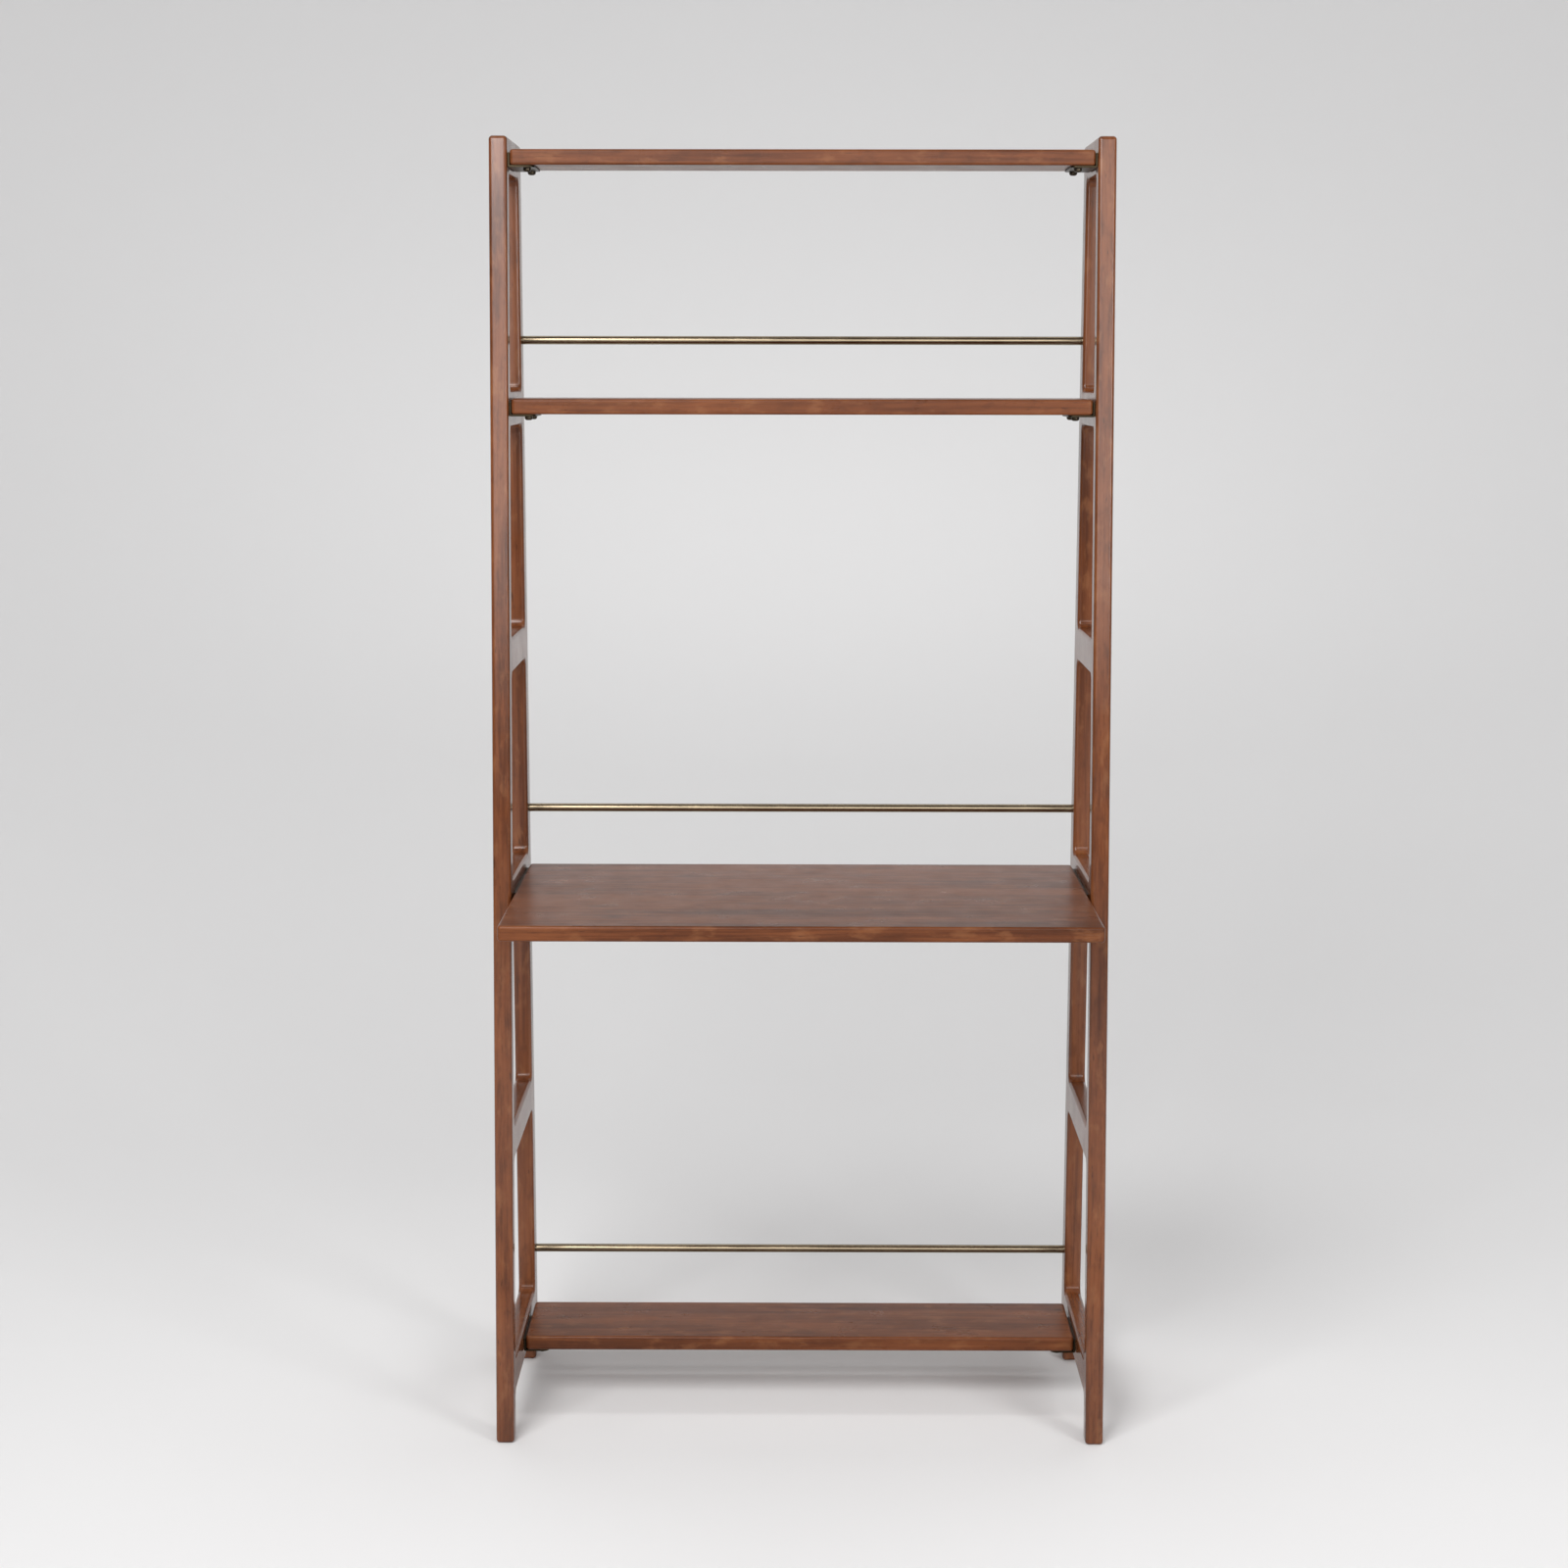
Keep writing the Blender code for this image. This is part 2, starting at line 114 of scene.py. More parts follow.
def rounded_outline(corners, radii):
    """The corners in order, each replaced by an arc of its radius (none where the radius is 0)."""
    outline = []
    for index, corner in enumerate(corners):
        corner = Vector(corner)
        radius = radii[index]
        if radius == 0:
            outline.append(corner)
            continue
        before = (Vector(corners[index - 1]) - corner).normalized()
        after = (Vector(corners[(index + 1) % len(corners)]) - corner).normalized()
        half_angle = before.angle(after) / 2
        centre = corner + (before + after).normalized() * radius / math.sin(half_angle)
        start = corner + before * radius / math.tan(half_angle) - centre
        turn = start.angle_signed(corner + after * radius / math.tan(half_angle) - centre)
        steps = max(2, round(QUARTER_STEPS * abs(turn) / (math.pi / 2)))
        for step in range(steps + 1):
            angle = -turn * step / steps
            outline.append(centre + Vector((start.x * math.cos(angle) - start.y * math.sin(angle),
                                            start.x * math.sin(angle) + start.y * math.cos(angle))))
    return outline


def place(axis, along, flat):
    """A 3-D point from its distance along the extrusion axis and its two flat coordinates."""
    if axis == "x":
        return Vector((along, flat[0], flat[1]))
    if axis == "y":
        return Vector((flat[0], along, flat[1]))
    return Vector((flat[0], flat[1], along))


def add_prism(mesh, axis, outline, low, high):
    """Extrude a flat outline along an axis from low to high, into an open bmesh."""
    corners = [mesh.verts.new(place(axis, low, point)) for point in outline]
    face = mesh.faces.new(corners)
    grown = bmesh.ops.extrude_face_region(mesh, geom=[face])["geom"]
    tops = [item for item in grown if isinstance(item, bmesh.types.BMVert)]
    bmesh.ops.translate(mesh, verts=tops, vec=place(axis, high - low, (0, 0)))


def add_turned(mesh, axis, centre, start, profile, sides):
    """Spin a profile of (distance along the axis, radius) pairs into a closed round body."""
    chain = [mesh.verts.new(place(axis, start + along, (centre[0] + radius, centre[1])))
             for along, radius in profile]
    edges = [mesh.edges.new(pair) for pair in zip(chain, chain[1:])]
    bmesh.ops.spin(mesh, geom=chain + edges, cent=place(axis, start, centre),
                   axis=place(axis, 1, (0, 0)), angle=2 * math.pi, steps=sides)
    bmesh.ops.remove_doubles(mesh, verts=mesh.verts, dist=0.00001)


def new_object(name, mesh):
    """Close a bmesh into a named object with outward faces."""
    bmesh.ops.recalc_face_normals(mesh, faces=mesh.faces)
    data = bpy.data.meshes.new(name)
    mesh.to_mesh(data)
    mesh.free()
    made = bpy.data.objects.new(name, data)
    bpy.context.scene.collection.objects.link(made)
    return made


def apply_modifiers(target):
    """Fix the object's stack into its mesh."""
    evaluated = target.evaluated_get(bpy.context.evaluated_depsgraph_get())
    data = bpy.data.meshes.new_from_object(evaluated)
    target.modifiers.clear()
    target.data = data
    data.name = target.name


def combine(target, cutter, operation):
    """A Boolean of the target with a cutter, which is used up."""
    modifier = target.modifiers.new("combine", "BOOLEAN")
    modifier.operation = operation
    modifier.solver = "EXACT"
    modifier.object = cutter
    apply_modifiers(target)
    bpy.data.objects.remove(cutter)


def round_edges(target, width, segments):
    """Round every arris to its full width: the flats beside it are wider, so no clamp is needed."""
    modifier = target.modifiers.new("round_edges", "BEVEL")
    modifier.limit_method = "ANGLE"
    modifier.angle_limit = math.radians(35)
    modifier.width = width
    modifier.segments = segments
    modifier.use_clamp_overlap = False
    apply_modifiers(target)


def finish_piece(target, material, slot, *nodes):
    """Smooth shading that keeps flats flat, the material, and the CAD nodes that the piece stands for."""
    target.data.shade_smooth()
    target.data.set_sharp_from_angle(angle=math.radians(32))
    weighted = target.modifiers.new("even_shading", "WEIGHTED_NORMAL")
    weighted.keep_sharp = True
    weighted.weight = 100
    target.data.materials.clear()
    target.data.materials.append(material)
    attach(target, "root")
    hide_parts(*nodes)


# ---- material helpers ----

class Tree:
    """A new node material with short calls for the nodes the patterns need."""

    def __init__(self, name):
        self.material = bpy.data.materials.new(name)
        self.material.use_nodes = True
        self.nodes = self.material.node_tree.nodes
        self.shader = self.nodes["Principled BSDF"]
        self.place = self.add("ShaderNodeTexCoord").outputs["Object"]

    def add(self, kind):
        return self.nodes.new(kind)

    def link(self, value, socket):
        """Plug an output into a socket, or set the socket to a constant."""
        if isinstance(value, bpy.types.NodeSocket):
            self.material.node_tree.links.new(value, socket)
        else:
            socket.default_value = value

    def maths(self, operation, *values):
        node = self.add("ShaderNodeMath")
        node.operation = operation
        for value, socket in zip(values, node.inputs):
            self.link(value, socket)
        return node.outputs[0]

    def stretch(self, vector, scale, offset=(0, 0, 0)):
        node = self.add("ShaderNodeMapping")
        self.link(vector, node.inputs["Vector"])
        node.inputs["Scale"].default_value = scale
        node.inputs["Location"].default_value = offset
        return node.outputs[0]

    def noise(self, vector, scale, detail=2, roughness=0.5, distortion=0):
        node = self.add("ShaderNodeTexNoise")
        self.link(vector, node.inputs["Vector"])
        node.inputs["Scale"].default_value = scale
        node.inputs["Detail"].default_value = detail
        node.inputs["Roughness"].default_value = roughness
        node.inputs["Distortion"].default_value = distortion
        return node.outputs["Fac"]

    def remap(self, value, low, high, to_low=0, to_high=1, smooth=False):
        node = self.add("ShaderNodeMapRange")
        if smooth:
            node.interpolation_type = "SMOOTHSTEP"
        for amount, socket in zip((value, low, high, to_low, to_high), node.inputs):
            self.link(amount, socket)
        return node.outputs[0]

    def blend(self, amount, first, second):
        node = self.add("ShaderNodeMix")
        node.data_type = "RGBA"
        self.link(amount, node.inputs["Factor"])
        self.link(first, node.inputs[6])
        self.link(second, node.inputs[7])
        return node.outputs[2]

    def bump(self, height, strength, distance):
        node = self.add("ShaderNodeBump")
        node.inputs["Strength"].default_value = strength
        node.inputs["Distance"].default_value = distance
        self.link(height, node.inputs["Height"])
        self.link(node.outputs[0], self.shader.inputs["Normal"])


def colour(red, green, blue):
    return (red, green, blue, 1)


WOOD_LIGHT = colour(0.195, 0.062, 0.021)
WOOD_MIDDLE = colour(0.118, 0.034, 0.011)
WOOD_DARK = colour(0.044, 0.013, 0.005)
WOOD_TAN = colour(0.235, 0.092, 0.036)
WOOD_KNOT = colour(0.018, 0.007, 0.004)
RING_SPACING = 0.0065

LACQUER_IOR = 1.48
FRAME_GLOSS = 0.47             # specular level
FRAME_ROUGHNESS = (0.15, 0.21)
BOARD_GLOSS = 0.22
BOARD_ROUGHNESS = (0.24, 0.31)

# Texture axes for each grain direction: which of X, Y, Z runs along the grain, then the two across it
GRAIN_AXES = {"x": "XYZ", "y": "YXZ", "z": "ZXY"}


def wood(name, grain, seed, round_axis, gloss_level=FRAME_GLOSS, roughness=FRAME_ROUGHNESS):
    """Lacquered solid wood: growth rings about a pith beside the piece, streaks, pores and knots."""
    tree = Tree(name)
    split = tree.add("ShaderNodeSeparateXYZ")
    tree.link(tree.place, split.inputs[0])
    join = tree.add("ShaderNodeCombineXYZ")
    for axis, socket in zip(GRAIN_AXES[grain], join.inputs):
        tree.link(split.outputs[axis], socket)
    shift = (0.731 * seed, 0.173 * seed, 0.297 * seed)
    place_in_plank = tree.stretch(join.outputs[0], (1, 1, 1), shift)

    # knots: sparse cells a little longer along the grain, of which few hold a knot
    cells = tree.add("ShaderNodeTexVoronoi")
    tree.link(tree.stretch(place_in_plank, (8, 15, 15)), cells.inputs["Vector"])
    cells.inputs["Scale"].default_value = 1
    pick = tree.add("ShaderNodeSeparateColor")
    tree.link(cells.outputs["Color"], pick.inputs[0])
    holds_knot = tree.maths("GREATER_THAN", pick.outputs[0], 0.70)
    nearness = tree.remap(cells.outputs["Distance"], 0.03, 0.26, 1, 0, smooth=True)
    knot_pull = tree.maths("MULTIPLY", nearness, holds_knot)
    knot_heart = tree.maths("MULTIPLY", tree.remap(cells.outputs["Distance"], 0.03, 0.075, 1, 0, smooth=True),
                            holds_knot)

    # growth rings: distance from the pith, wavered along the grain and pushed aside by the knots
    waver = tree.noise(tree.stretch(place_in_plank, (1.6, 9, 9)), 1, 3, 0.55)
    across = tree.add("ShaderNodeSeparateXYZ")
    tree.link(place_in_plank, across.inputs[0])
    pith_side = tree.maths("SUBTRACT", across.outputs[1], 0.173 * seed + 0.035 + 0.011 * (seed % 5))
    pith_depth = tree.maths("SUBTRACT", across.outputs[2], 0.297 * seed - 0.060 - 0.009 * (seed % 4))
    squares = tree.maths("ADD", tree.maths("MULTIPLY", pith_side, pith_side),
                         tree.maths("MULTIPLY", pith_depth, pith_depth))
    radius = tree.maths("SQRT", squares)
    pushed = tree.maths("ADD", radius, tree.maths("MULTIPLY", waver, 0.030))
    pushed = tree.maths("ADD", pushed, tree.maths("MULTIPLY", knot_pull, 0.012))
    phase = tree.maths("FRACT", tree.maths("DIVIDE", pushed, RING_SPACING))
    late_wood = tree.maths("MULTIPLY", tree.remap(phase, 0.45, 0.94, 0, 1, smooth=True),
                           tree.remap(phase, 0.94, 1.0, 1, 0, smooth=True))

    # broad bands, fine streaks, short ripples, fibres, pores and flecks, all drawn out along the grain
    band = tree.noise(tree.stretch(place_in_plank, (1.7, 24, 24)), 1, 3, 0.55, 0.3)
    streak = tree.noise(tree.stretch(place_in_plank, (5, 150, 150)), 1, 4, 0.6, 0.2)
    ripple = tree.noise(tree.stretch(place_in_plank, (26, 60, 60)), 1, 3, 0.55)
    fibre = tree.noise(tree.stretch(place_in_plank, (24, 700, 700)), 1, 3, 0.6)
    pore = tree.remap(tree.noise(tree.stretch(place_in_plank, (45, 1100, 1100)), 1, 1, 0.5), 0.66, 0.74)
    fleck = tree.remap(tree.noise(tree.stretch(place_in_plank, (34, 230, 230)), 1, 2, 0.5), 0.69, 0.76)

    tone = tree.blend(tree.remap(band, 0.36, 0.68, 0, 0.75, smooth=True), WOOD_MIDDLE, WOOD_LIGHT)
    tone = tree.blend(tree.remap(band, 0.46, 0.28, 0, 0.50, smooth=True), tone, WOOD_DARK)
    tone = tree.blend(tree.maths("MULTIPLY", late_wood, 0.22), tone, WOOD_DARK)
    tone = tree.blend(tree.remap(streak, 0.50, 0.66, 0, 0.50), tone, WOOD_LIGHT)
    tone = tree.blend(tree.remap(streak, 0.47, 0.32, 0, 0.50), tone, WOOD_DARK)
    tone = tree.blend(tree.remap(ripple, 0.52, 0.70, 0, 0.42, smooth=True), tone, WOOD_TAN)
    tone = tree.blend(tree.remap(ripple, 0.45, 0.30, 0, 0.30, smooth=True), tone, WOOD_DARK)
    tone = tree.blend(tree.remap(fibre, 0.40, 0.72, 0, 0.14), tone, WOOD_DARK)
    tone = tree.blend(tree.maths("MULTIPLY", pore, 0.30), tone, WOOD_KNOT)
    tone = tree.blend(tree.maths("MULTIPLY", fleck, 0.60), tone, WOOD_KNOT)
    tone = tree.blend(tree.maths("MULTIPLY", knot_pull, 0.45), tone, WOOD_DARK)
    tone = tree.blend(tree.maths("MULTIPLY", knot_heart, 0.88), tone, WOOD_KNOT)

    # the lacquer is thinner and the wood a little worn on the rounded arrises
    normal = tree.add("ShaderNodeSeparateXYZ")
    tree.link(tree.nodes["Texture Coordinate"].outputs["Normal"], normal.inputs[0])
    facing = tree.maths("MULTIPLY", normal.outputs[round_axis], normal.outputs[round_axis])
    arris = tree.maths("MULTIPLY", tree.maths("MULTIPLY", facing, tree.maths("SUBTRACT", 1, facing)), 4)
    wear = tree.maths("MULTIPLY", arris, tree.noise(tree.place, 60, 3, 0.6))
    tone = tree.blend(tree.maths("MULTIPLY", wear, 0.30), tone, WOOD_LIGHT)
    tree.link(tone, tree.shader.inputs["Base Color"])

    cloud = tree.noise(tree.place, 22, 3, 0.55)
    gloss = tree.maths("ADD", tree.remap(cloud, 0.3, 0.7, *roughness), tree.maths("MULTIPLY", fibre, 0.05))
    tree.link(gloss, tree.shader.inputs["Roughness"])
    tree.bump(tree.maths("SUBTRACT", tree.maths("MULTIPLY", fibre, 0.5), pore), 0.25, 0.00012)
    tree.shader.inputs["IOR"].default_value = LACQUER_IOR
    tree.shader.inputs["Specular IOR Level"].default_value = gloss_level
    return tree.material


ROD_TONES = (colour(0.31, 0.25, 0.17), colour(0.25, 0.20, 0.135))
# the brackets' brass tones are kept very dark as painted shade of the narrow gaps between the board ends and
# the frames, where the plates sit
PLATE_TONES_PAINTED_SHADE = (colour(0.060, 0.046, 0.028), colour(0.028, 0.021, 0.013))
BOLT_TONES = (colour(0.10, 0.08, 0.055), colour(0.045, 0.035, 0.025))
PATINA = colour(0.06, 0.04, 0.025)


def brass(name, tones, roughness, brushed):
    """Antique brass of a light and a dark tone: tarnish in clouds, fine brushing, specks of patina."""
    light, dark = tones
    tree = Tree(name)
    cloud = tree.noise(tree.place, 16, 4, 0.6)
    speck = tree.remap(tree.noise(tree.place, 700, 2, 0.5), 0.66, 0.80)
    line = tree.noise(tree.stretch(tree.place, brushed), 1, 2, 0.5)
    tone = tree.blend(tree.remap(cloud, 0.35, 0.68, smooth=True), dark, light)
    tone = tree.blend(tree.maths("MULTIPLY", line, 0.30), tone, dark)
    tone = tree.blend(tree.maths("MULTIPLY", speck, 0.5), tone, PATINA)
    tree.link(tone, tree.shader.inputs["Base Color"])
    tree.shader.inputs["Metallic"].default_value = 1
    gloss = tree.remap(cloud, 0.3, 0.7, roughness - 0.06, roughness + 0.08)
    tree.link(gloss, tree.shader.inputs["Roughness"])
    tree.bump(line, 0.15, 0.00006)
    return tree.material


def studio_paper(name):
    """Pale matt paper with a faint unevenness."""
    tree = Tree(name)
    cloud = tree.noise(tree.place, 0.5, 3, 0.5)
    tone = tree.blend(cloud, colour(0.800, 0.796, 0.796), colour(0.820, 0.816, 0.817))
    tree.link(tone, tree.shader.inputs["Base Color"])
    tree.shader.inputs["Roughness"].default_value = 0.9
    tree.shader.inputs["Specular IOR Level"].default_value = 0.1
    return tree.material


# ---- side frames ----

def leg_front(height):
    """Y of the front legs' front face at a height."""
    return FRONT + LEAN * height


def front_joint(height):
    """Y of the seam between a front leg and its rails at a height."""
    return leg_front(height) + FRONT_LEG_DEPTH + JOINT_STEP


BACK_JOINT = BACK - BACK_LEG_DEPTH - JOINT_STEP


def frame_panel():
    """One whole side frame with its five windows and rounded arrises, flat on x = 0."""
    inner_back = BACK - BACK_LEG_DEPTH
    arch_top = RAIL_CENTRES[0] - RAIL_HEIGHT / 2
    corners = [(leg_front(0), 0), (leg_front(0) + FRONT_LEG_DEPTH, 0),
               (leg_front(arch_top) + FRONT_LEG_DEPTH, arch_top), (inner_back, arch_top),
               (inner_back, 0), (BACK, 0), (BACK, HEIGHT), (leg_front(HEIGHT), HEIGHT)]
    radii = (0, 0, FOOT_ARCH_RADIUS, FOOT_ARCH_RADIUS, 0, 0, 0, 0)
    body = bmesh.new()
    add_prism(body, "x", rounded_outline(corners, radii), 0, FRAME_THICKNESS)
    panel = new_object("frame_panel", body)
    windows = bmesh.new()
    for below, above in zip(RAIL_CENTRES, RAIL_CENTRES[1:]):
        low = below + RAIL_HEIGHT / 2
        high = above - RAIL_HEIGHT / 2
        opening = [(leg_front(low) + FRONT_LEG_DEPTH, low), (inner_back, low),
                   (inner_back, high), (leg_front(high) + FRONT_LEG_DEPTH, high)]
        add_prism(windows, "x", rounded_outline(opening, (WINDOW_RADIUS,) * 4),
                  -FRAME_THICKNESS, 2 * FRAME_THICKNESS)
    combine(panel, new_object("windows", windows), "DIFFERENCE")
    round_edges(panel, FRAME_ROUNDING, ROUNDING_STEPS)
    return panel


def frame_piece(name, side, panel, zone):
    """A copy of the panel on its side of the object, kept only inside a flat zone (y, z)."""
    data = panel.data.copy()
    shift = -HIGH.x if side < 0 else INNER_FACE
    for vertex in data.vertices:
        vertex.co.x += shift
    piece = bpy.data.objects.new(name, data)
    bpy.context.scene.collection.objects.link(piece)
    keep = bmesh.new()
    add_prism(keep, "x", zone, -1, 1)
    combine(piece, new_object("zone", keep), "INTERSECT")
    return piece


def leg_zones():
    """Flat zones of the front and the back leg."""
    low = -FRAME_THICKNESS
    high = HEIGHT + FRAME_THICKNESS
    front = [(leg_front(low) - FRAME_THICKNESS, low), (front_joint(low) - FIT_GAP / 2, low),
             (front_joint(high) - FIT_GAP / 2, high), (leg_front(high) - FRAME_THICKNESS, high)]
    back = [(BACK_JOINT + FIT_GAP / 2, low), (BACK + FRAME_THICKNESS, low),
            (BACK + FRAME_THICKNESS, high), (BACK_JOINT + FIT_GAP / 2, high)]
    return {"front_leg": front, "back_leg": back}


def rail_zone(centre):
    """Flat zone of one rail, between the two leg joints."""
    reach = RAIL_HEIGHT / 2 + WINDOW_RADIUS + FRAME_ROUNDING
    low = centre - reach
    high = centre + reach
    return [(front_joint(low) + FIT_GAP / 2, low), (BACK_JOINT - FIT_GAP / 2, low),
            (BACK_JOINT - FIT_GAP / 2, high), (front_joint(high) + FIT_GAP / 2, high)]


def side_frames():
    """Both side frames: the panel, copied and parted into its two legs and six rails."""
    panel = frame_panel()
    seed = 1
    for side_name, side in SIDES.items():
        for leg_name, zone in leg_zones().items():
            node = leg_name + "_" + side_name
            piece = frame_piece(node + "_lacquered", side, panel, zone)
            finish_piece(piece, wood("wood_" + node, "z", seed, "X"), "frame_wood", node)
            seed += 1
        for rail_name, centre in zip(RAILS, RAIL_CENTRES):
            node = rail_name + "_rail_" + side_name
            piece = frame_piece(node + "_lacquered", side, panel, rail_zone(centre))
            finish_piece(piece, wood("wood_" + node, "y", seed, "X"), "frame_wood", node)
            seed += 1
    bpy.data.objects.remove(panel)


# ---- boards ----

def board(node, seed):
    """A board that fills its CAD box, with rounded plan corners and arrises."""
    low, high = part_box(node)
    corners = [(low.x, low.y), (high.x, low.y), (high.x, high.y), (low.x, high.y)]
    body = bmesh.new()
    add_prism(body, "z", rounded_outline(corners, (BOARD_CORNER_RADIUS,) * 4), low.z, high.z)
    piece = new_object(node + "_lacquered", body)
    round_edges(piece, BOARD_ROUNDING, ROUNDING_STEPS)
    lacquer = wood("wood_" + node, "x", seed, "Z", BOARD_GLOSS, BOARD_ROUGHNESS)
    finish_piece(piece, lacquer, "board_wood", node)


# ---- metalwork ----

def rod(node, material):
    """A round rod with a small chamfer at each end."""
    low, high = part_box(node)
    centre = centre_of(node)
    radius = (high.z - low.z) / 2
    length = high.x - low.x
    profile = ((0, 0), (0, radius - ROD_CHAMFER), (ROD_CHAMFER, radius),
               (length - ROD_CHAMFER, radius), (length, radius - ROD_CHAMFER), (length, 0))
    body = bmesh.new()
    add_turned(body, "x", (centre.y, centre.z), low.x, profile, ROD_SIDES)
    finish_piece(new_object(node + "_turned", body), material, "rod_brass", node)


def bracket(owner, side_name, material):
    """A bent angle plate with a rounded outer bend, eased edges and screw holes."""
    node = owner + "_bracket_" + side_name
    side = SIDES[side_name]
    low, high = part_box(node)
    outer = high.x if side > 0 else low.x
    tip = low.x if side > 0 else high.x
    angle = [(outer, low.z), (tip, low.z), (tip, low.z + PLATE),
             (outer - side * PLATE, low.z + PLATE), (outer - side * PLATE, high.z), (outer, high.z)]
    body = bmesh.new()
    add_prism(body, "y", rounded_outline(angle, (PLATE_BEND, 0, 0, PLATE_BEND / 4, 0, 0)), low.y, high.y)
    tip_edges = [edge for edge in body.edges
                 if all(abs(vertex.co.x - tip) < FIT_GAP for vertex in edge.verts)
                 and abs(edge.verts[0].co.z - edge.verts[1].co.z) > PLATE / 2]
    bmesh.ops.bevel(body, geom=tip_edges, offset=BRACKET_CORNER_RADIUS, segments=QUARTER_STEPS, profile=0.5,
                    affect="EDGES")
    piece = new_object(node + "_bent", body)
    round_edges(piece, PLATE_ROUNDING, 2)
    holes = bmesh.new()
    for place_name in SCREW_PLACES[owner]:
        screw_low, screw_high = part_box("_".join((owner, "screw", place_name, side_name)))
        radius = (screw_high.y - screw_low.y) / 2 + FIT_GAP
        centre = (screw_low + screw_high) / 2
        profile = ((-2 * PLATE, 0), (-2 * PLATE, radius), (2 * PLATE, radius), (2 * PLATE, 0))
        add_turned(holes, "x", (centre.y, centre.z), outer, profile, BOLT_SIDES // 2)
    combine(piece, new_object("screw_holes", holes), "DIFFERENCE")
    finish_piece(piece, material, "bracket_brass", node)


def bolt(node, material):
    """A pan-head bolt with a domed head and a hexagon recess, head down."""
    low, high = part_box(node)
    centre = centre_of(node)
    head = (high.x - low.x) / 2
    dome = [(BOLT_HEAD_HEIGHT * 0.62 * (1 - math.cos(turn)), head * math.sin(turn))
            for turn in (math.pi / 2 * step / 8 for step in range(3, 9))]
    start = dome[0][0]
    profile = [(0, 0)] + [(along - start, radius) for along, radius in dome]
    profile += [(BOLT_HEAD_HEIGHT, head), (BOLT_HEAD_HEIGHT, BOLT_SHANK_RADIUS),
                (high.z - low.z, BOLT_SHANK_RADIUS), (high.z - low.z, 0)]
    body = bmesh.new()
    add_turned(body, "z", (centre.x, centre.y), low.z, profile, BOLT_SIDES)
    piece = new_object(node + "_domed", body)
    recess = bmesh.new()
    hexagon = [(centre.x + HEX_RADIUS * math.cos(math.pi / 3 * corner),
                centre.y + HEX_RADIUS * math.sin(math.pi / 3 * corner)) for corner in range(6)]
    add_prism(recess, "z", hexagon, low.z - HEX_DEPTH, low.z + HEX_DEPTH)
    combine(piece, new_object("hexagon", recess), "DIFFERENCE")
    finish_piece(piece, material, "fastener_bronze", node)


def metalwork():
    """The rods, brackets and bolts; the screws keep their CAD shape and get the bolts' bronze."""
    rod_brass = brass("rod_brass_antique", ROD_TONES, 0.20, (2, 900, 900))
    # the plates' dark tones are painted shade of the gaps they sit in, over antique brass
    plate_brass = brass("plate_brass_painted_shade", PLATE_TONES_PAINTED_SHADE, 0.38, (900, 12, 900))
    bronze = brass("bolt_bronze", BOLT_TONES, 0.34, (300, 300, 300))
    for node in RODS:
        rod(node, rod_brass)
    for side_name in SIDES:
        for owner in BOARDS:
            bracket(owner, side_name, plate_brass)
            for place_name in BOLT_PLACES:
                bolt("_".join((owner, "bolt", place_name, side_name)), bronze)
            for place_name in SCREW_PLACES[owner]:
                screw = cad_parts["_".join((owner, "screw", place_name, side_name))]
                screw.material_slots[0].material = bronze


# ---- studio: paper sweep, lights, camera ----

FLOOR_RADIUS = 1.3
SWEEP_RADIUS = 6.0
WALL_HEIGHT = 6.5
SWEEP_SIDES = 96
SWEEP_STEPS = 32


def sweep():
    """A round floor that curves up into a wall all round, so that every view has the same plain ground."""
    profile = [(0, 0), (0, FLOOR_RADIUS / 2), (0, FLOOR_RADIUS)]
    for step in range(1, SWEEP_STEPS + 1):
        turn = math.pi / 2 * step / SWEEP_STEPS
        profile.append((SWEEP_RADIUS * (1 - math.cos(turn)), FLOOR_RADIUS + SWEEP_RADIUS * math.sin(turn)))
    profile.append((WALL_HEIGHT, FLOOR_RADIUS + SWEEP_RADIUS))
    ground = bmesh.new()
    add_turned(ground, "z", (0, 0), 0, profile, SWEEP_SIDES)
    made = new_object("studio_sweep", ground)
    made.data.shade_smooth()
    made.data.materials.append(studio_paper("studio_paper"))


def softbox(name, position, target, size, power):
    """A rectangular area light aimed at a point; the camera doesn't see the box itself."""
    data = bpy.data.lights.new(name, "AREA")
    data.shape = "RECTANGLE"
    data.size, data.size_y = size
    data.energy = power
    made = bpy.data.objects.new(name, data)
    bpy.context.scene.collection.objects.link(made)
    made.location = position
    made.rotation_mode = "QUATERNION"
    made.rotation_quaternion = (Vector(target) - Vector(position)).to_track_quat("-Z", "Y")
    made.visible_camera = False


CARD_CLOUD = 1.3             # lightest over darkest grey of a card


def card(name, low, high, grey):
    """A dark card that only reflections see, as lacquer and metal mirror the unlit part of a studio."""
    body = bmesh.new()
    add_prism(body, "y", [(low[0], low[2]), (high[0], low[2]), (high[0], high[2]), (low[0], high[2])],
              low[1], high[1])
    made = new_object(name, body)
    tree = Tree(name)
    lighter = CARD_CLOUD * grey
    cloud = tree.noise(tree.place, 1)
    tone = tree.blend(cloud, colour(grey, grey, grey), colour(lighter, lighter, lighter))
    tree.link(tone, tree.shader.inputs["Base Color"])
    tree.shader.inputs["Roughness"].default_value = 0.9
    made.data.materials.append(tree.material)
    made.visible_camera = False
    made.visible_diffuse = False
    made.visible_shadow = False


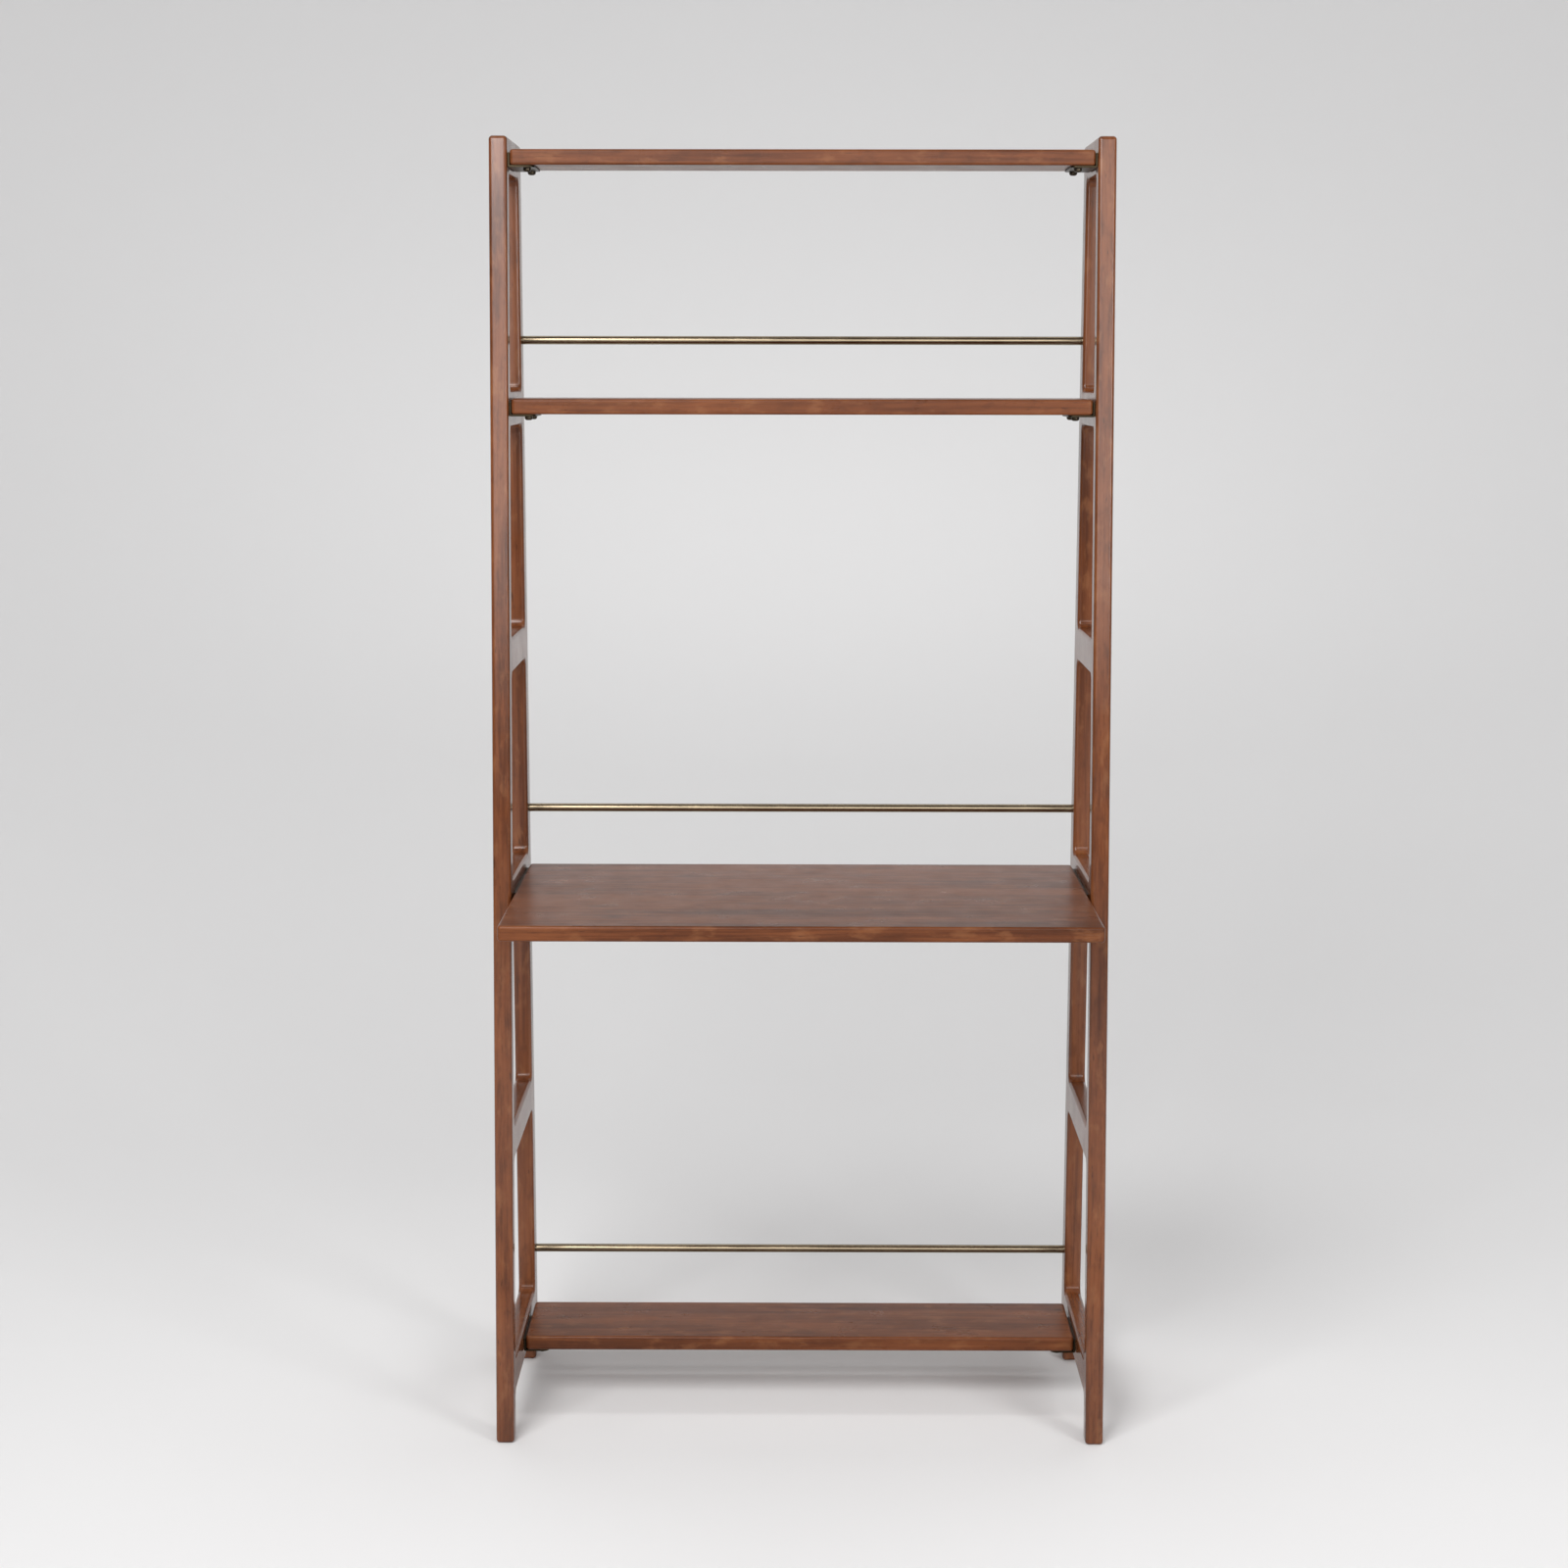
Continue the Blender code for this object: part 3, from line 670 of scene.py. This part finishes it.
def world_light(strength, tint):
    world = bpy.data.worlds.new("studio_air")
    bpy.context.scene.world = world
    world.use_nodes = True
    background = world.node_tree.nodes["Background"]
    background.inputs["Color"].default_value = tint
    background.inputs["Strength"].default_value = strength


CAMERA_PLACE = (-0.0073, FRONT - 3.371, 1.492)
CAMERA_PITCH = 0.163         # below the horizontal
CAMERA_YAW = -0.00467        # to the right
CAMERA_ROLL = -0.00142
CAMERA_LENS = 58.5           # on a 36 mm sensor


def camera():
    data = bpy.data.cameras.new("camera")
    data.sensor_width = 36
    data.lens = CAMERA_LENS
    made = bpy.data.objects.new("camera", data)
    bpy.context.scene.collection.objects.link(made)
    made.matrix_world = (Matrix.Translation(CAMERA_PLACE) @ Matrix.Rotation(-CAMERA_YAW, 4, "Z")
                         @ Matrix.Rotation(math.pi / 2 - CAMERA_PITCH, 4, "X")
                         @ Matrix.Rotation(-CAMERA_ROLL, 4, "Z"))
    bpy.context.scene.camera = made


def studio():
    """The sweep, five lights aimed at the object or the backdrop, the cards for reflections, the camera."""
    sweep()
    softbox("key", (-1.3, -2.5, 3.2), (0, 0.1, 1.1), (1.8, 1.4), 88)
    softbox("front_box", (-0.1, -3.9, 2.30), (-0.1, 0, 2.30), (3.4, 1.8), 62)
    softbox("side_fill", (2.2, -2.4, 1.9), (0.3, 0.1, 0.5), (0.9, 1.3), 36)
    softbox("backdrop_glow", (0, 3.4, 2.2), (0, 7.3, 2.2), (1.6, 1.0), 6)
    softbox("backdrop_wash", (0, 1.8, 5.2), (0, 5.0, 1.0), (5.0, 1.2), 66)
    card("room_card", (-3.2, -4.15, 0.0), (3.2, -4.10, 1.35), 0.02)
    card("left_card", (-3.05, -4.0, 0.2), (-3.0, 0.6, 3.6), 0.02)
    card("right_card", (3.0, -4.0, 0.2), (3.05, 0.6, 3.6), 0.02)
    card("front_mat", (-3.0, -4.1, 0.02), (3.0, -1.0, 0.03), 0.20)
    world_light(0.32, (1.0, 0.997, 1.0, 1))
    camera()
    bpy.context.scene.view_settings.view_transform = "Standard"


def build():
    side_frames()
    for index, node in enumerate(BOARDS.values()):
        board(node, 31 + index)
    metalwork()
    studio()


build()

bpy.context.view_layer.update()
